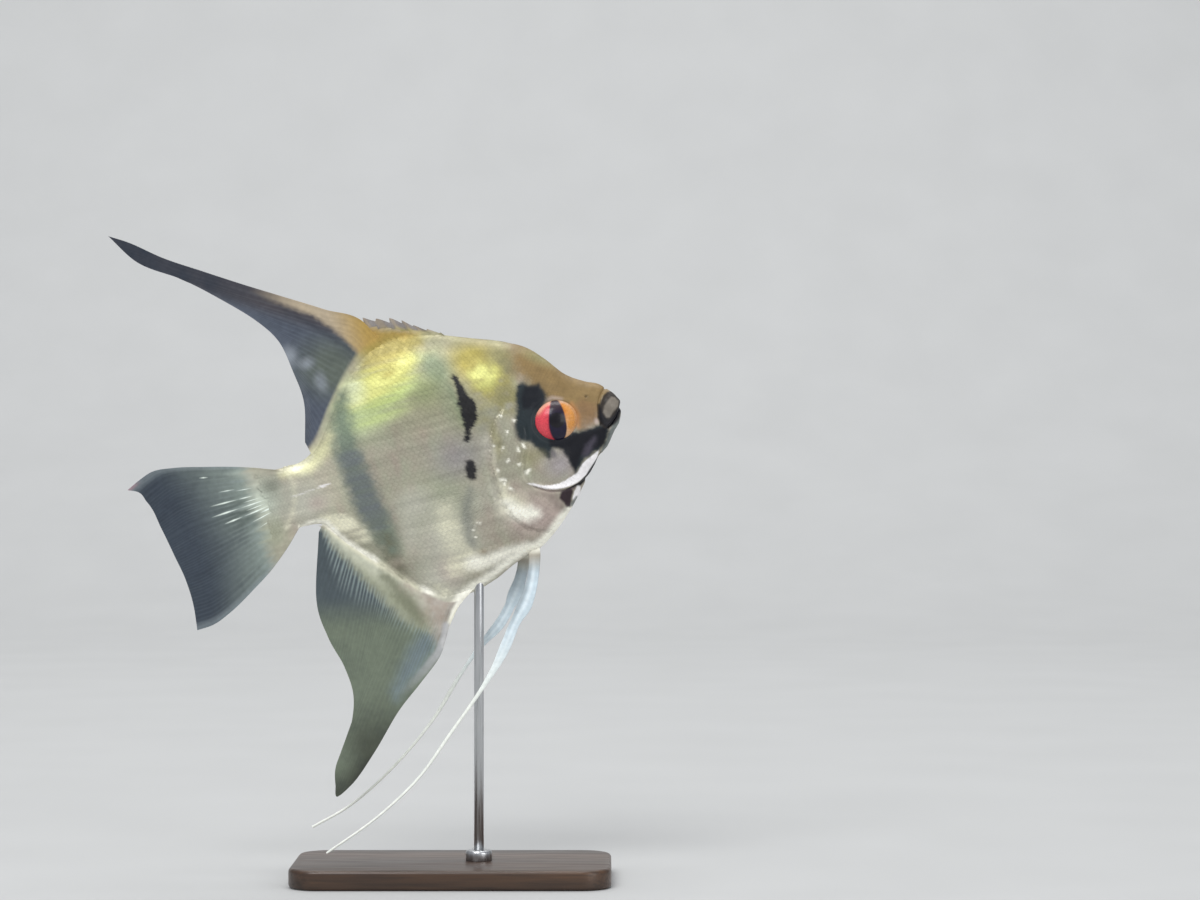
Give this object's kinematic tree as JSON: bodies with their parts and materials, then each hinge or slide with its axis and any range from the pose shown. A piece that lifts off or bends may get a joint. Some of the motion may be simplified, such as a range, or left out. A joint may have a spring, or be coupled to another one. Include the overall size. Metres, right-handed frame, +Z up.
{
  "type": "freshwater angelfish",
  "caption": "Life-size model of a freshwater angelfish, nose up with long trailing fins, held by a rod over a flat display base.",
  "frame": {"origin": "centre of the display base's underside", "axes": "+Z up, +X the way the fish faces, +Y its left side"},
  "size_m": [0.1552, 0.05, 0.1946],
  "materials": {
    "skin": "satin scales, silver and yellow-gold with black marks",
    "fin": "thin rayed fin, grey-blue and half clear",
    "pelvic_fin": "bluish white thread-like fin",
    "eye": "glossy, red and orange iris with a black pupil",
    "wood": "dark satin wood",
    "steel": "brushed"
  },
  "bodies": {
    "root": {"head": "skin", "upper_jaw": "skin", "lower_jaw": "skin", "gill_cover_left": "skin", "gill_cover_right": "skin", "trunk": "skin", "tail_stalk": "skin", "dorsal_fin": "fin", "anal_fin": "fin", "tail_fin": "fin", "pectoral_fin_left": "fin", "pectoral_fin_right": "fin", "pelvic_fin_left": "pelvic_fin", "pelvic_fin_right": "pelvic_fin", "eye_left": "eye", "eye_right": "eye", "stand_base": "wood", "stand_rod": "steel", "stand_collar": "steel"}
  },
  "joints": []
}
